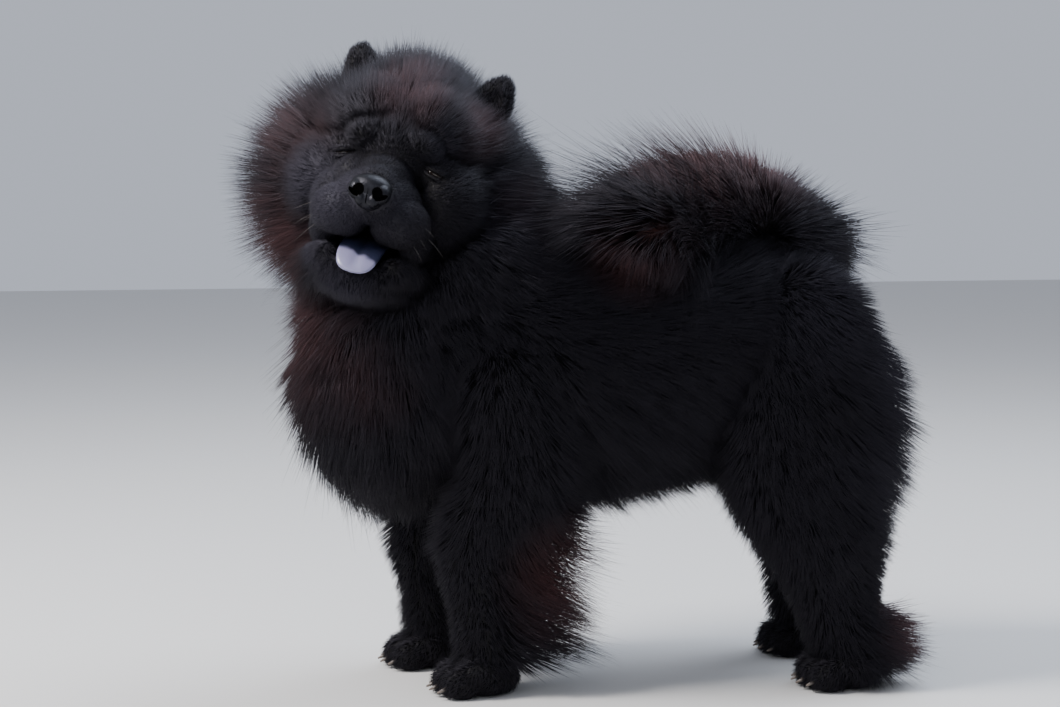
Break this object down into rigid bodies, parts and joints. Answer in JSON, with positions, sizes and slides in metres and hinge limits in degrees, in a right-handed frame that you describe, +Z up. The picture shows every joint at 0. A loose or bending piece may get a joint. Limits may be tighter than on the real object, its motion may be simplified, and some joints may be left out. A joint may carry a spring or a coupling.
{
  "type": "chow chow dog figure",
  "caption": "Still life-size figure of a standing black chow chow with full ruff, curled plumed tail and head turned to its left.",
  "frame": {"origin": "on the floor under the middle of the figure's box", "axes": "+X the way the body faces, +Y the dog's left, +Z up; the head is turned to the dog's left"},
  "size_m": [0.718, 0.3552, 0.6921],
  "materials": {
    "coat": "dense stand-off black coat with a cool grey sheen on its tips and warm brown parts",
    "paw": "short black fur over the toes",
    "nose_leather": "black, damp and slightly glossy",
    "tongue": "blue-black, damp",
    "eye": "dark brown, wet and glossy"
  },
  "bodies": {
    "root": {"ear_left": "coat", "ear_right": "coat", "eye_left": "eye", "eye_right": "eye", "front_leg_left": "coat", "front_leg_right": "coat", "front_paw_left": "paw", "front_paw_right": "paw", "head": "coat", "hind_leg_left": "coat", "hind_leg_right": "coat", "hind_paw_left": "paw", "hind_paw_right": "paw", "lower_jaw": "coat", "neck": "coat", "nose": "nose_leather", "tail": "coat", "tongue": "tongue", "torso": "coat"}
  },
  "joints": []
}
